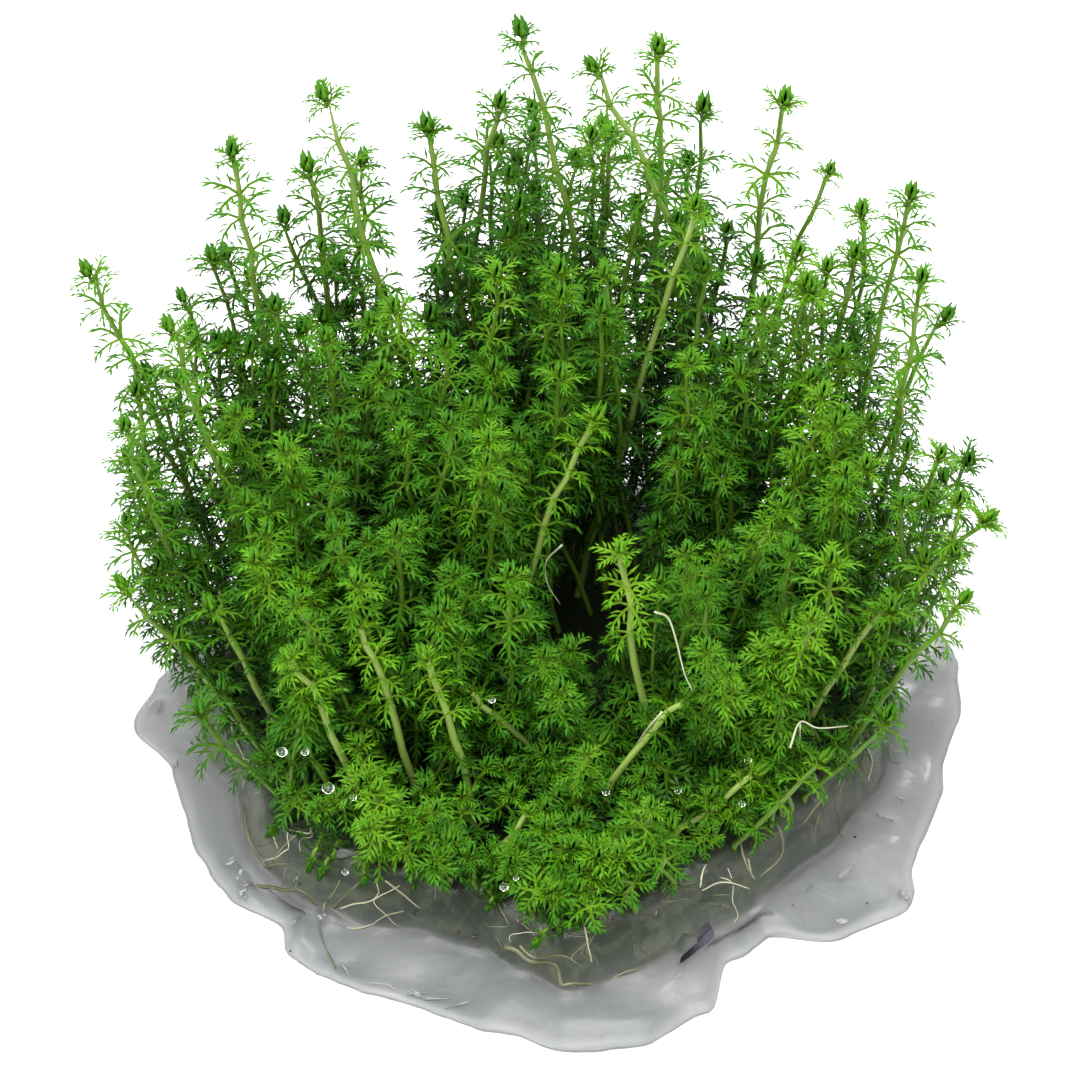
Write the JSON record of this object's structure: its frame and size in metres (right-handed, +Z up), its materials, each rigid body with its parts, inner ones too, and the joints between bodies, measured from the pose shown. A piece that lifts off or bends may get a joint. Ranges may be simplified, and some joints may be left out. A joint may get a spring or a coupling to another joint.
{
  "type": "water milfoil clump",
  "caption": "Clump of feathery, whorled water milfoil shoots rooted in a low pad of clear nutrient gel with a thin ragged skirt.",
  "frame": {"origin": "middle of the flat underside of the gel pad, where it rests on a surface", "axes": "+Z up, -Y towards the low front of the clump, +X to the right seen from the front"},
  "size_m": [0.0967, 0.084, 0.0783],
  "materials": {
    "gel": "wet, smooth, clear grey gel",
    "foliage_back": "soft deep green leaf",
    "foliage_side": "soft mid green leaf",
    "foliage_middle": "soft green leaf",
    "foliage_front": "soft bright lime green leaf",
    "root": "wet pale olive root"
  },
  "bodies": {
    "root": {"gel_pad": "gel", "root_1": "root", "root_2": "root", "root_3": "root", "root_4": "root", "root_5": "root", "root_6": "root", "root_7": "root", "shoot_01": "foliage_back", "shoot_02": "foliage_back", "shoot_03": "foliage_back", "shoot_04": "foliage_back", "shoot_05": "foliage_back", "shoot_06": "foliage_back", "shoot_07": "foliage_back", "shoot_08": "foliage_back", "shoot_09": "foliage_back", "shoot_10": "foliage_back", "shoot_11": "foliage_back", "shoot_12": "foliage_side", "shoot_13": "foliage_side", "shoot_14": "foliage_side", "shoot_15": "foliage_side", "shoot_16": "foliage_side", "shoot_17": "foliage_side", "shoot_18": "foliage_side", "shoot_19": "foliage_side", "shoot_20": "foliage_side", "shoot_21": "foliage_side", "shoot_22": "foliage_side", "shoot_23": "foliage_middle", "shoot_24": "foliage_middle", "shoot_25": "foliage_middle", "shoot_26": "foliage_middle", "shoot_27": "foliage_middle", "shoot_28": "foliage_middle", "shoot_29": "foliage_middle", "shoot_30": "foliage_middle", "shoot_31": "foliage_middle", "shoot_32": "foliage_middle", "shoot_33": "foliage_middle", "shoot_34": "foliage_middle", "shoot_35": "foliage_middle", "shoot_36": "foliage_middle", "shoot_37": "foliage_front", "shoot_38": "foliage_front", "shoot_39": "foliage_front", "shoot_40": "foliage_front", "shoot_41": "foliage_front", "shoot_42": "foliage_front", "shoot_43": "foliage_front", "shoot_44": "foliage_front", "shoot_45": "foliage_front", "shoot_46": "foliage_front", "shoot_47": "foliage_front", "shoot_48": "foliage_front"}
  },
  "joints": []
}
